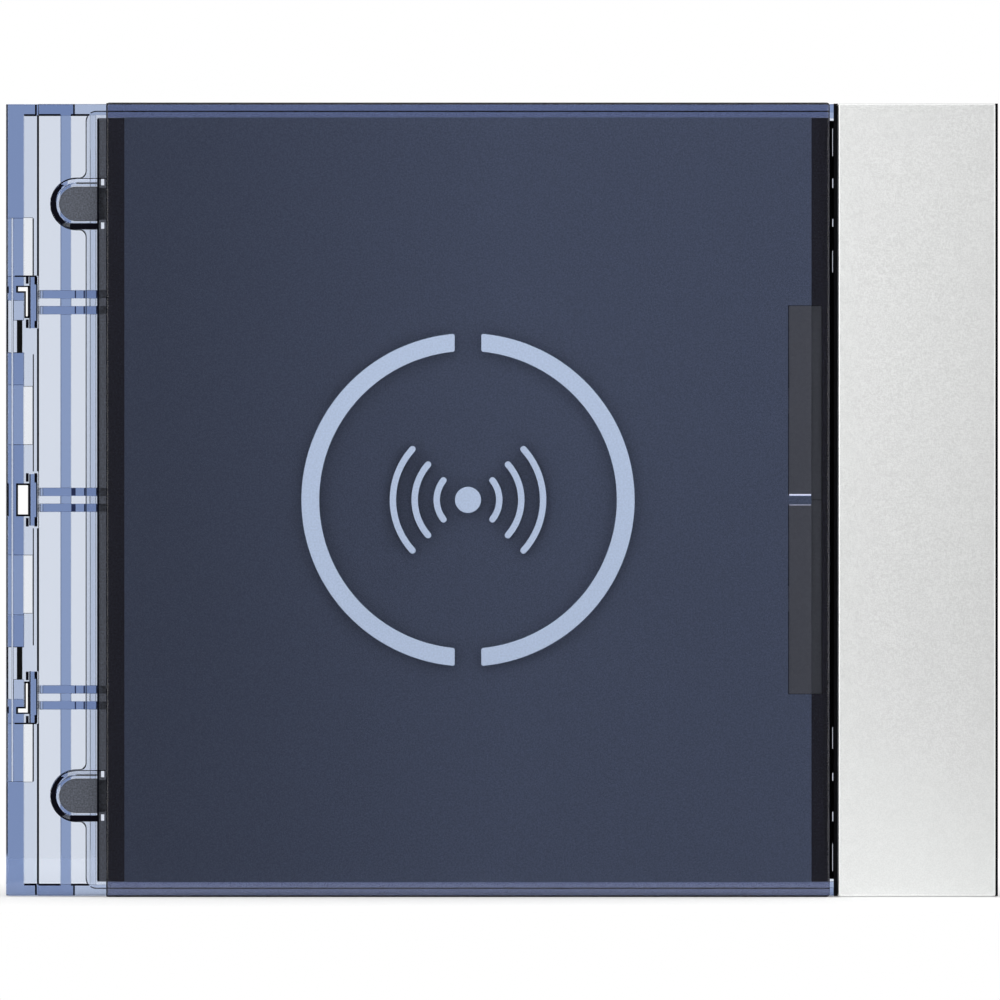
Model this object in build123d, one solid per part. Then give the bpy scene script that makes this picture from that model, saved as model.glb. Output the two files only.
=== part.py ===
from build123d import *
import math
import os

# A wall-mounted proximity card reader: a pull-off front cover (clear carrier, smoked window,
# satin trim) over an electronics module that is screwed to the wall.
# Millimetres. X runs to the right, Z runs up, and the front faces -Y.
# Every depth below is a height above the wall, so a height h lies at Y = -h.

# ---------------------------------------------------------------- front cover, driving sizes
FRONT_WIDTH = 115.1
FRONT_HEIGHT = 91.9
TRIM_WIDTH = 18.5
SHADOW_GAP = 1.0
FLANGE_WIDTH = 11.7
WINDOW_OVERHANG = 0.12

SKIRT_LOW = 15.2
CARRIER_LOW = 22.4
CARRIER_HIGH = 24.2
PLATE_LOW = 24.25
PLATE_HIGH = 25.8
FILM_HIGH = 25.95
WINDOW_LOW = 26.0
WINDOW_HIGH = 28.0

FRONT_RIGHT = 57.5
FRONT_LEFT = FRONT_RIGHT - FRONT_WIDTH
HALF_HEIGHT = FRONT_HEIGHT / 2
TRIM_LEFT = FRONT_RIGHT - TRIM_WIDTH
WINDOW_LEFT = FRONT_LEFT + FLANGE_WIDTH
WINDOW_RIGHT = TRIM_LEFT - SHADOW_GAP
WINDOW_HALF = HALF_HEIGHT + WINDOW_OVERHANG

# ---------------------------------------------------------------- clear carrier
STEP_X = -53.85
STEP_DROP = 1.0
STEP_CHAMFER = 0.1
EDGE_CHAMFER = 0.22
RAIL_MIDDLE = 45.1
# (left X, right X, inner face, reach of the outer half, reach of the inner half) along both rails
RAIL_ZONES = [
    (FRONT_LEFT, -49.7, 44.72, SKIRT_LOW, SKIRT_LOW),
    (-49.7, WINDOW_LEFT, 44.72, 19.7, 19.7),
    (WINDOW_LEFT, TRIM_LEFT - 0.1, 44.35, 16.9, 18.6),
]
FLANGE_PLATE = 2.5
FLANGE_WALL = 2.0
WALL_GROOVE = (-57.02, -56.8)
WALL_GROOVE_HALF = 32.8
WALL_GROOVE_HIGH = 20.8
# (lower Z, upper Z, how far back the flange's edge wall reaches), mirrored about Z = 0
FLANGE_WALL_STEPS = [
    (32.8, HALF_HEIGHT, SKIRT_LOW),
    (26.0, 32.8, SKIRT_LOW + 0.7),
    (23.2, 26.0, SKIRT_LOW),
    (13.4, 17.1, SKIRT_LOW - 0.4),
    (6.4, 13.4, SKIRT_LOW + 0.7),
    (0.0, 6.4, SKIRT_LOW - 0.4),
]
# short shelf above each hook pad
SHELF_Z = (20.9, 23.2)
SHELF_LOW = 18.8
POST_RIB = (-51.28, -50.08)
POST_RIB_LOW = 17.4
SHALLOW_RIB = (-47.85, -47.19)
SHALLOW_RIB_LOW = 21.5
CROSS_RIB_STATIONS = (22.95, 0.0, -22.95)
CROSS_RIB_OFFSET = 0.92
CROSS_RIB_THICK = 0.92
CROSS_RIB_SPAN = (-53.4, -46.0)
CROSS_RIB_LOW = 15.9
CROSS_RIB_TOE = -53.65
CROSS_RIB_TOE_LOW = 18.6
HOOK_SLOT = (-56.34, -54.97)
MIDDLE_SLOT_HALF = 1.9
CORNER_SLOT_OUT = 24.7
CORNER_SLOT_ARM = 0.6
CORNER_SLOT_IN = 21.1
CORNER_SLOT_STEM = -55.39
# thin fields of the flange, (lower Z, upper Z) mirrored about Z = 0
THIN_FIELD_X = (-55.6, -54.54)
THIN_FIELDS = [(26.0, 32.8), (6.4, 13.2)]
THIN_FIELD_PLATE = 0.9
HOOK_PAD_X = (-56.38, -55.8)
HOOK_PAD_Z = (17.1, 20.9)
HOOK_PAD_DEPTH = 3.0
TRIM_FLANGE_RIGHT = 55.8
TRIM_FLANGE_HALF = 44.4
CLIP_CENTRES = (-36.0, 10.0)
CLIP_WIDTH = 8.0
CLIP_FACES = (41.3, 42.5)
CLIP_LOW = 12.0

# ---------------------------------------------------------------- snap latches on the flange
LATCH_X = (-54.8, -54.0)
LATCH_LOW = 15.0
LATCH_PIVOT_X = sum(LATCH_X) / 2
LATCH_PIVOT_HEIGHT = 20.2
LATCH_NOSE = 0.25
LATCH_HALF = 3.0

# ---------------------------------------------------------------- window frame and backing plate
FRAME_LEFT = -48.28
FRAME_HALF = RAIL_MIDDLE
FRAME_RIM_HIGH = 25.2
FRAME_CORNER = 1.2
EAR_X = -49.4
EAR_Z = 34.35
EAR_RADIUS = 3.0
EAR_BLEND = 0.8
EAR_BEVEL = 0.7
TONGUE_RADIUS = 2.0
EDGE_GAP = 0.05
PLATE_LEFT = -46.94
PLATE_RIGHT = 37.9
PLATE_HALF = 44.3
TONGUE_GROOVE = 1.1
NOTCH = (-46.55, -46.15)
NOTCH_Z = (2.15, 2.9)
RIB_GROOVE = 0.9
FILM_LEFT = -43.8
FILM_RIGHT = 35.9
FILM_HALF = 44.35

# ---------------------------------------------------------------- contactless symbol
SYMBOL_X = -3.94
RING_OUTER = 19.37
RING_INNER = 17.2
RING_GAP = 2.98
RING_CORNER = 0.3
DOT_RADIUS = 1.565
# (mid radius, half angle in degrees) of the arcs on each side of the dot
WAVES = [(3.63, 38.4), (6.18, 41.4), (8.71, 42.3)]
WAVE_STROKE = 0.85
WAVE_DEPTH = 1.2
INLAY_GAP = 0.06
PEG_RADIUS = 0.8
PEG_HOLE = 0.9
PEG_LOW = 22.3
PEG_ANGLES = (40, -40, 140, -140)
RING_MID = (RING_OUTER + RING_INNER) / 2

# ---------------------------------------------------------------- status bars
BAR_X = (33.3, 37.1)
BAR_Z = (0.55, 22.5)
BAR_STEP_X = FILM_RIGHT
BAR_LOW = 24.6
BAR_SHOULDER = 25.4
BAR_CLEARANCE = 0.1

# ---------------------------------------------------------------- trim, seal, gasket
TRIM_RIGHT = 57.22
TRIM_SKIN = 1.2
TRIM_EDGE = 0.25
RETAINER_INSET = 2.4
RETAINER_HALF = 43.0
RETAINER_BAR = 3.0
SIDE_SEAL = (TRIM_RIGHT, FRONT_RIGHT)
SIDE_SEAL_HIGH = 27.7
SEAL_WALL_X = (38.5, 38.95)
SEAL_FOOT_LEFT = 38.05
SEAL_SLIT_LEFT = 38.35
SEAL_FOOT_HALF = 44.0
# (lower Z, upper Z) of the drain slits in the seal's foot, mirrored about Z = 0
SEAL_SLITS = [(39.9, 43.1), (36.2, 37.3), (31.7, 32.6), (26.4, 28.9)]
GASKET_INSET = 1.0
GASKET_WIDTH = 2.0

# ---------------------------------------------------------------- electronics module
MODULE_LEFT = -45.5
MODULE_RIGHT = 37.5
MODULE_HALF = 41.0
MODULE_CORNER = 2.0
MODULE_HIGH = 22.0
WALL = 1.8
FACE_WALL = 1.6
REAR_COVER = 2.0
FIXING_X = -4.0
FIXING_Z = 38.0
FIXING_HOLE = 2.2
SCALLOP_HALF = 5.0
SCALLOP_FLOOR = 34.4

BOARD_LOW = 10.0
BOARD_HIGH = 11.6
BOARD_X = (-43.0, 35.0)
BOARD_HALF = 38.0
BOARD_NOTCH_HALF = 7.6
BOARD_NOTCH_Z = 32.0
BOSS_POINTS = [(-38.0, 29.0), (-38.0, -29.0), (30.0, 29.0), (30.0, -29.0)]
BOSS_RADIUS = 2.5
BOARD_SCREW = 1.25
POST_POINTS = [(-41.3, 36.8), (-41.3, -36.8), (33.3, 36.8), (33.3, -36.8)]
POST_RADIUS = 3.0
POST_HIGH = 9.8
COVER_SCREW = 1.3
COVER_SCREW_HEAD = 2.6

ANTENNA_LOW = 18.0
ANTENNA_HIGH = 19.2
ANTENNA_HALF_X = 31.2
ANTENNA_HALF_Z = 32.0
FERRITE_THICK = 0.3
FERRITE_HALF = 25.0
COIL_TURNS = 6
COIL_PITCH = 1.1
COIL_TRACE = 0.6
COIL_THICK = 0.1
SPACER_OFFSET = (28.0, 29.0)
SPACER_RADIUS = 2.0
LED_SIZE = 2.0
LED_HEIGHT = 1.0
LED_WINDOW = 1.4
PIPE_X = 33.6
PIPE_Z = 11.5
PIPE_RADIUS = 1.5

TERMINAL_X = -18.4
TERMINAL_Z = -25.6
TERMINAL_WAYS = 6
TERMINAL_PITCH = 5.0
TERMINAL_HEADER = (31.6, 10.0)
TERMINAL_PLUG = (28.8, 7.4)
TERMINAL_PLUG_HEIGHTS = (0.4, 8.2)
BUS_X = 19.0
BUS_Z = 29.0
BUS_OUTER = (15.0, 8.4)
BUS_CAVITY = (12.4, 5.8)
BUS_LOW = 0.8
BUS_FLOOR = 8.6
DIP_X = -29.3
DIP_Z = 24.0
DIP_BODY = (11.0, 7.0)
DIP_LOW = 4.6
DIP_PITCH = 2.54
DIP_TRAVEL = 1.4
DIP_KNOB = 1.3
BUTTON_X = -17.0
BUTTON_Z = 27.0
BUTTON_RADIUS = 1.75
TAMPER_X = 5.0
TAMPER_Z = 27.0
TAMPER_RADIUS = 1.5
TAMPER_PROUD = 1.5
USB_X = -20.0
USB_HEIGHT = 13.0
RETAIN_X = 24.0
RETAIN_HALF = 5.0
RETAIN_PIVOT_HEIGHT = 14.0
RETAIN_PIVOT_Z = 42.2
RETAIN_PIN = 0.5
LABEL_X = (5.0, 33.0)
LABEL_HALF = 17.0


# ---------------------------------------------------------------- helpers
def rect(left, right, bottom, top):
    """Front-view rectangle from its four sides."""
    return Pos((left + right) / 2, (bottom + top) / 2) * Rectangle(right - left, top - bottom)


def centred(x, z, width, height):
    """Front-view rectangle from its centre and size."""
    return Pos(x, z) * Rectangle(width, height)


def disc(x, z, radius):
    """Front-view circle."""
    return Pos(x, z) * Circle(radius)


def slab(sketch, low, high):
    """Front-view sketch made solid between two heights above the wall."""
    return extrude(Plane.XZ.offset(low) * sketch, amount=high - low)


def block(left, right, bottom, top, low, high):
    """Rectangular solid from its six sides."""
    return slab(rect(left, right, bottom, top), low, high)


def peg(x, z, radius, low, high):
    """Round solid along the depth."""
    return slab(disc(x, z, radius), low, high)


def joined(shapes):
    """Fuse a list of solids or sketches into one."""
    shapes = list(shapes)
    result = shapes[0]
    for shape in shapes[1:]:
        result = result + shape
    return result


def group(shapes):
    """Keep a list of solids separate, in one node."""
    return Compound(children=list(shapes))


def both_ways(low, high):
    """A span of Z and its mirror image."""
    return [(low, high), (-high, -low)]


def rounded(left, right, bottom, top, radius):
    """Front-view rectangle with rounded corners."""
    outline = rect(left, right, bottom, top)
    return fillet(outline.vertices(), radius)


# ---------------------------------------------------------------- the symbol's outlines
def ring_half(side):
    """One half of the split ring, on the right (1) or the left (-1)."""
    reach = RING_OUTER + 1
    half_plane = Pos(side * (RING_GAP + reach) / 2, 0) * Rectangle(reach, 2 * reach)
    half = (Circle(RING_OUTER) - Circle(RING_INNER)) & half_plane
    return Pos(SYMBOL_X, 0) * fillet(half.vertices(), RING_CORNER)


def wave_outlines():
    """The round-ended arcs on both sides of the dot."""
    outlines = []
    for side_angle in (0, 180):
        for radius, half_angle in WAVES:
            line = CenterArc((0, 0), radius, side_angle - half_angle, 2 * half_angle)
            outlines.append(Pos(SYMBOL_X, 0) * SlotArc(line, WAVE_STROKE))
    return outlines


def ring_pegs():
    """Where the light pegs and their LEDs stand, as front-view points."""
    points = []
    for angle in PEG_ANGLES:
        turn = math.radians(angle)
        points.append((SYMBOL_X + RING_MID * math.cos(turn), RING_MID * math.sin(turn)))
    return points


def light_points():
    """All the points where light passes to the symbol."""
    return ring_pegs() + [(SYMBOL_X, 0.0)]


def light_holes(radius):
    """Front-view holes at the light points."""
    return joined(disc(x, z, radius) for x, z in light_points())


# ---------------------------------------------------------------- front cover
def carrier_plate():
    """Stepped plate of the carrier, with its latch slots."""
    main = rect(STEP_X, TRIM_LEFT - 0.1, -HALF_HEIGHT, HALF_HEIGHT)
    main = main + rect(TRIM_LEFT - 0.2, TRIM_FLANGE_RIGHT, -TRIM_FLANGE_HALF, TRIM_FLANGE_HALF)
    plate = slab(main, CARRIER_LOW, CARRIER_HIGH)
    step_edge = plate.edges().filter_by(Axis.Z).group_by(Axis.X)[0].sort_by(Axis.Y)[0]
    plate = chamfer(step_edge, STEP_CHAMFER)
    flange_high = CARRIER_HIGH - STEP_DROP
    flange = block(FRONT_LEFT, STEP_X, -HALF_HEIGHT, HALF_HEIGHT, flange_high - FLANGE_PLATE, flange_high)
    outer_edge = flange.edges().filter_by(Axis.Z).group_by(Axis.X)[0].sort_by(Axis.Y)[0]
    return plate + chamfer(outer_edge, EDGE_CHAMFER)


def carrier_walls():
    """Rails, edge wall and ribs behind the plate."""
    walls = []
    for left, right, inner_face, outer_low, inner_low in RAIL_ZONES:
        for bottom, top in both_ways(RAIL_MIDDLE, HALF_HEIGHT):
            walls.append(block(left, right, bottom, top, outer_low, CARRIER_LOW))
        for bottom, top in both_ways(inner_face, RAIL_MIDDLE):
            walls.append(block(left, right, bottom, top, inner_low, CARRIER_LOW))
    for low_z, high_z, reach in FLANGE_WALL_STEPS:
        for bottom, top in both_ways(low_z, high_z):
            walls.append(block(FRONT_LEFT, FRONT_LEFT + FLANGE_WALL, bottom, top, reach, CARRIER_LOW))
    for bottom, top in both_ways(*SHELF_Z):
        walls.append(block(WALL_GROOVE[1], FRONT_LEFT + FLANGE_WALL, bottom, top, SHELF_LOW, CARRIER_LOW))
    walls.append(block(*POST_RIB, -RAIL_MIDDLE, RAIL_MIDDLE, POST_RIB_LOW, CARRIER_LOW))
    walls.append(block(*SHALLOW_RIB, -RAIL_MIDDLE, RAIL_MIDDLE, SHALLOW_RIB_LOW, CARRIER_LOW))
    return walls


def cross_ribs():
    """Three pairs of horizontal ribs behind the flange."""
    ribs = []
    for station in CROSS_RIB_STATIONS:
        for side in (1, -1):
            middle = station + side * CROSS_RIB_OFFSET
            bottom = middle - CROSS_RIB_THICK / 2
            top = middle + CROSS_RIB_THICK / 2
            ribs.append(block(*CROSS_RIB_SPAN, bottom, top, CROSS_RIB_LOW, CARRIER_LOW))
            ribs.append(block(CROSS_RIB_TOE, CROSS_RIB_SPAN[1], bottom, top, CROSS_RIB_TOE_LOW, CARRIER_LOW))
    return ribs


def carrier_clips():
    """Arms that reach back beside the module."""
    arms = []
    for centre in CLIP_CENTRES:
        for bottom, top in both_ways(*CLIP_FACES):
            arms.append(block(centre - CLIP_WIDTH / 2, centre + CLIP_WIDTH / 2, bottom, top,
                              CLIP_LOW, CARRIER_LOW))
    return arms


def hook_slots():
    """Front-view outlines of the three latch windows in the flange."""
    middle = rect(*HOOK_SLOT, -MIDDLE_SLOT_HALF, MIDDLE_SLOT_HALF)
    arm = rect(*HOOK_SLOT, CORNER_SLOT_OUT - CORNER_SLOT_ARM, CORNER_SLOT_OUT)
    stem = rect(CORNER_SLOT_STEM, HOOK_SLOT[1], CORNER_SLOT_IN, CORNER_SLOT_OUT)
    corner = arm + stem
    return [middle, corner, mirror(corner, about=Plane.XZ)]


def flange_relief():
    """Groove along the edge wall and thin fields of the flange, all cut from behind."""
    cuts = [block(*WALL_GROOVE, -WALL_GROOVE_HALF, WALL_GROOVE_HALF, SKIRT_LOW - 1, WALL_GROOVE_HIGH)]
    field_high = CARRIER_HIGH - STEP_DROP - THIN_FIELD_PLATE
    for field in THIN_FIELDS:
        for bottom, top in both_ways(*field):
            cuts.append(block(*THIN_FIELD_X, bottom, top, SKIRT_LOW - 1, field_high))
    return cuts


def front_carrier():
    """Clear moulding that carries every other front piece."""
    body = carrier_plate()
    for solid in carrier_walls() + cross_ribs() + carrier_clips():
        body = body + solid
    for cut in flange_relief():
        body = body - cut
    for outline in hook_slots():
        body = body - slab(outline, SKIRT_LOW - 1, CARRIER_HIGH + 1)
    return body - slab(light_holes(PEG_HOLE), CARRIER_LOW - 1, CARRIER_HIGH + 1)


def hook_pads():
    """Black rubber pads behind the flange that the neighbour's hooks rest against."""
    high = CARRIER_HIGH - STEP_DROP - FLANGE_PLATE
    pads = []
    for bottom, top in both_ways(*HOOK_PAD_Z):
        pads.append(block(*HOOK_PAD_X, bottom, top, high - HOOK_PAD_DEPTH, high))
    return group(pads)


def snap_latch(station):
    """Clear hook behind a latch window, with a rounded root to flex about."""
    thick = LATCH_X[1] - LATCH_X[0]
    arm = Pos(LATCH_PIVOT_X, -(LATCH_LOW + LATCH_PIVOT_HEIGHT) / 2) * Rectangle(
        thick, LATCH_PIVOT_HEIGHT - LATCH_LOW)
    root = Pos(LATCH_PIVOT_X, -LATCH_PIVOT_HEIGHT) * Circle(thick / 2)
    nose = Polygon(
        (LATCH_X[0], -LATCH_LOW),
        (LATCH_X[0] - LATCH_NOSE, -LATCH_LOW - 0.6),
        (LATCH_X[0] - LATCH_NOSE, -LATCH_LOW - 1.0),
        (LATCH_X[0], -LATCH_LOW - 1.0),
        align=None,
    )
    profile = arm + root + nose
    return Pos(0, 0, station - LATCH_HALF) * extrude(profile, amount=2 * LATCH_HALF)


def ear_outline(radius, right):
    """Both U-shaped ears, up to a given right side."""
    ears = []
    for z in (EAR_Z, -EAR_Z):
        ears.append(disc(EAR_X, z, radius) + rect(EAR_X, right, z - radius, z + radius))
    return ears


def frame_outline():
    """Outer outline of the clear window frame, with its ears blended in."""
    body = rounded(FRAME_LEFT, WINDOW_RIGHT, -FRAME_HALF, FRAME_HALF, FRAME_CORNER)
    body = body + rect(WINDOW_LEFT, WINDOW_RIGHT, -FRAME_HALF, FRAME_HALF)
    for ear in ear_outline(EAR_RADIUS, FRAME_LEFT + 1):
        body = body + ear
    inner_corners = []
    for vertex in body.vertices():
        on_edge = abs(vertex.X - FRAME_LEFT) < 0.01
        by_ear = abs(abs(abs(vertex.Y) - EAR_Z) - EAR_RADIUS) < 0.01
        if on_edge and by_ear:
            inner_corners.append(vertex)
    return fillet(inner_corners, EAR_BLEND)


def plate_outline(grow=0.0):
    """Outline of the backing plate and its two tongues."""
    outline = rect(PLATE_LEFT - grow, PLATE_RIGHT + grow, -PLATE_HALF - grow, PLATE_HALF + grow)
    for tongue in ear_outline(TONGUE_RADIUS + grow, PLATE_LEFT + 1):
        outline = outline + tongue
    return outline


def window_frame():
    """Clear frame around the backing plate, open on the right."""
    outline = frame_outline()
    high = WINDOW_LOW - EDGE_GAP
    frame = slab(outline, PLATE_LOW, FRAME_RIM_HIGH)
    frame = frame + (slab(outline, PLATE_LOW, high) & block(WINDOW_LEFT, WINDOW_RIGHT, -50, 50, 0, 50))
    lower_ears = ear_outline(EAR_RADIUS, WINDOW_LEFT + 1)
    upper_ears = ear_outline(EAR_RADIUS - EAR_BEVEL, WINDOW_LEFT + 1)
    for lower, upper in zip(lower_ears, upper_ears):
        bevel_low = Plane.XZ.offset(high - EAR_BEVEL) * lower
        bevel_high = Plane.XZ.offset(high) * upper
        frame = frame + slab(lower, PLATE_LOW, high - EAR_BEVEL) + loft([bevel_low, bevel_high], ruled=True)
    return frame - slab(plate_outline(EDGE_GAP), PLATE_LOW - 1, high + 1)


def backing_plate():
    """Dark plate behind the printed film, with its tongues in the frame's ears."""
    outline = plate_outline() - light_holes(PEG_HOLE)
    for bottom, top in both_ways(*BAR_Z):
        outline = outline - rect(BAR_X[0] - BAR_CLEARANCE, BAR_X[1] + EDGE_GAP, bottom - EDGE_GAP, top + EDGE_GAP)
    shoulder_half = BAR_Z[1] + EDGE_GAP
    outline = outline - rect(BAR_STEP_X, BAR_X[1] + EDGE_GAP, -shoulder_half, shoulder_half)
    for ear_z in (EAR_Z, -EAR_Z):
        for side in (1, -1):
            low, high = sorted((ear_z + side * NOTCH_Z[0], ear_z + side * NOTCH_Z[1]))
            outline = outline - rect(*NOTCH, low, high)
    plate = slab(outline, PLATE_LOW, PLATE_HIGH)
    groove_half = TONGUE_RADIUS - 0.15
    for ear_z in (EAR_Z, -EAR_Z):
        plate = plate - block(PLATE_LEFT, WINDOW_LEFT, ear_z - groove_half, ear_z + groove_half,
                              PLATE_HIGH - TONGUE_GROOVE, PLATE_HIGH + 1)
    for station in CROSS_RIB_STATIONS:
        for side in (1, -1):
            bottom = station + side * CROSS_RIB_OFFSET - CROSS_RIB_THICK / 2
            plate = plate - block(PLATE_LEFT - 1, WINDOW_LEFT, bottom, bottom + CROSS_RIB_THICK,
                                  PLATE_HIGH - RIB_GROOVE, PLATE_HIGH + 1)
    return plate


def printed_film():
    """Thin navy film between the plate and the window."""
    outline = rect(FILM_LEFT, FILM_RIGHT, -FILM_HALF, FILM_HALF) - light_holes(PEG_HOLE)
    for bottom, top in both_ways(*BAR_Z):
        outline = outline - rect(BAR_X[0] - BAR_CLEARANCE, FILM_RIGHT + 1, bottom - EDGE_GAP, top + EDGE_GAP)
    return slab(outline, PLATE_HIGH, FILM_HIGH)


def front_window():
    """Smoked window with pockets for the symbol."""
    outline = rounded(WINDOW_LEFT, WINDOW_RIGHT, -WINDOW_HALF, WINDOW_HALF, 0.4)
    window = slab(outline, WINDOW_LOW, WINDOW_HIGH)
    window = fillet(window.faces().sort_by(Axis.Y)[0].edges(), 0.3)
    for outline in (ring_half(1), ring_half(-1), disc(SYMBOL_X, 0, DOT_RADIUS)):
        window = window - slab(outline, WINDOW_LOW - 1, WINDOW_HIGH + 1)
    for outline in wave_outlines():
        window = window - slab(outline, WINDOW_HIGH - WAVE_DEPTH, WINDOW_HIGH + 1)
    return window


def ring_arc(side):
    """Light guide that fills one half of the ring, on two pegs."""
    arc = slab(offset(ring_half(side), -INLAY_GAP), WINDOW_LOW, WINDOW_HIGH)
    for x, z in ring_pegs():
        if (x - SYMBOL_X) * side > 0:
            arc = arc + peg(x, z, PEG_RADIUS, PEG_LOW, WINDOW_LOW)
    return arc


def symbol_dot():
    """Light guide of the dot, on one peg."""
    head = peg(SYMBOL_X, 0, DOT_RADIUS - INLAY_GAP, WINDOW_LOW, WINDOW_HIGH)
    return head + peg(SYMBOL_X, 0, PEG_RADIUS, PEG_LOW, WINDOW_LOW)


def symbol_waves():
    """Six arcs set into the window's front."""
    inlays = []
    for outline in wave_outlines():
        low = WINDOW_HIGH - WAVE_DEPTH + EDGE_GAP
        inlays.append(slab(offset(outline, -INLAY_GAP), low, WINDOW_HIGH))
    return group(inlays)


def status_bar(side):
    """Grey diffuser behind the window, stepped down past the film's edge."""
    bottom, top = sorted((side * BAR_Z[0], side * BAR_Z[1]))
    bar = block(BAR_X[0], BAR_STEP_X, bottom, top, BAR_LOW, FILM_HIGH)
    bottom, top = sorted((side * EDGE_GAP / 2, side * BAR_Z[1]))
    return bar + block(BAR_STEP_X, BAR_X[1], bottom, top, BAR_LOW, BAR_SHOULDER)


def trim_cover():
    """Satin metal cover with returned edges."""
    shell = block(TRIM_LEFT, TRIM_RIGHT, -HALF_HEIGHT, HALF_HEIGHT, SKIRT_LOW, WINDOW_HIGH)
    shell = fillet(shell.edges().filter_by(Axis.Y), TRIM_EDGE)
    shell = fillet(shell.faces().sort_by(Axis.Y)[0].edges(), TRIM_EDGE * 0.8)
    inner_half = HALF_HEIGHT - TRIM_SKIN
    shell = shell - block(TRIM_LEFT + TRIM_SKIN, TRIM_RIGHT - TRIM_SKIN, -inner_half, inner_half,
                          SKIRT_LOW - 1, WINDOW_HIGH - TRIM_SKIN)
    return shell - block(TRIM_LEFT - 1, TRIM_LEFT + 2 * TRIM_SKIN, -inner_half, inner_half,
                         SKIRT_LOW - 1, PLATE_LOW)


def trim_retainer():
    """Black ladder frame that the trim snaps onto."""
    left = TRIM_LEFT + RETAINER_INSET
    right = FRONT_RIGHT - RETAINER_INSET
    outline = rounded(left, right, -RETAINER_HALF, RETAINER_HALF, 1.0)
    cell_half = (RETAINER_HALF - 2 * RETAINER_BAR) / 3
    for cell in (-1, 0, 1):
        middle = cell * (2 * cell_half + RETAINER_BAR)
        outline = outline - rect(left + RETAINER_BAR, right - RETAINER_BAR,
                                 middle - cell_half, middle + cell_half)
    return slab(outline, PLATE_LOW, WINDOW_HIGH - TRIM_SKIN - EDGE_GAP)


def side_seal():
    """Black strip down the right edge of the trim, against the next module."""
    return block(*SIDE_SEAL, -HALF_HEIGHT, HALF_HEIGHT, SKIRT_LOW, SIDE_SEAL_HIGH)


def gap_seal():
    """Black strip in the gap between window and trim, with drain slits in its foot."""
    foot = rect(SEAL_FOOT_LEFT, SEAL_WALL_X[1], -SEAL_FOOT_HALF, SEAL_FOOT_HALF)
    for slit in SEAL_SLITS:
        for bottom, top in both_ways(*slit):
            foot = foot - rect(SEAL_SLIT_LEFT, SEAL_WALL_X[0], bottom, top)
    wall = block(*SEAL_WALL_X, -HALF_HEIGHT, HALF_HEIGHT, PLATE_LOW, WINDOW_HIGH - 0.8)
    return wall + slab(foot, PLATE_LOW, PLATE_LOW + 0.7)


def cover_gasket():
    """Foam ring between the module's face and the carrier."""
    left = MODULE_LEFT + GASKET_INSET
    right = MODULE_RIGHT - GASKET_INSET
    half = MODULE_HALF - GASKET_INSET
    outer = rect(left, right, -half, half)
    for z in (1, -1):
        outer = outer - centred(FIXING_X, z * MODULE_HALF, 2 * (SCALLOP_HALF + WALL), 2 * (MODULE_HALF - SCALLOP_FLOOR))
    inner = offset(outer, -GASKET_WIDTH)
    return slab(outer - inner, MODULE_HIGH, CARRIER_LOW - EDGE_GAP)


# ---------------------------------------------------------------- module shell
def scallops(half, floor):
    """Recesses over the two fixing holes, in the front view."""
    cuts = []
    for side in (1, -1):
        bottom, top = sorted((side * floor, side * (MODULE_HALF + 1)))
        cuts.append(rect(FIXING_X - half, FIXING_X + half, bottom, top))
    return joined(cuts)


def module_outline(inset=0.0):
    """Outline of the module's shell, with the scallops for the fixing screws."""
    outline = rounded(MODULE_LEFT + inset, MODULE_RIGHT - inset, -MODULE_HALF + inset,
                      MODULE_HALF - inset, MODULE_CORNER)
    return outline - scallops(SCALLOP_HALF + inset, SCALLOP_FLOOR - inset)


def retainer_cheeks():
    """Cheeks on the module's top and bottom that carry the retaining latches."""
    cheeks = []
    for side in (1, -1):
        bottom, top = sorted((side * (MODULE_HALF - 0.2), side * (RETAIN_PIVOT_Z + 1.1)))
        for end in (1, -1):
            near, far = sorted((RETAIN_X + end * (RETAIN_HALF + 0.2), RETAIN_X + end * (RETAIN_HALF + 1.2)))
            cheeks.append(block(near, far, bottom, top, RETAIN_PIVOT_HEIGHT - 1.4, RETAIN_PIVOT_HEIGHT + 1.4))
    return cheeks


def latch_pins():
    """Steel pins of the two retaining latches."""
    pins = []
    for side in (1, -1):
        axis = Pos(RETAIN_X, -RETAIN_PIVOT_HEIGHT, side * RETAIN_PIVOT_Z) * Rot(0, 90, 0)
        pins.append(axis * Cylinder(RETAIN_PIN, 2 * (RETAIN_HALF + 1.2)))
    return group(pins)


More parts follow.
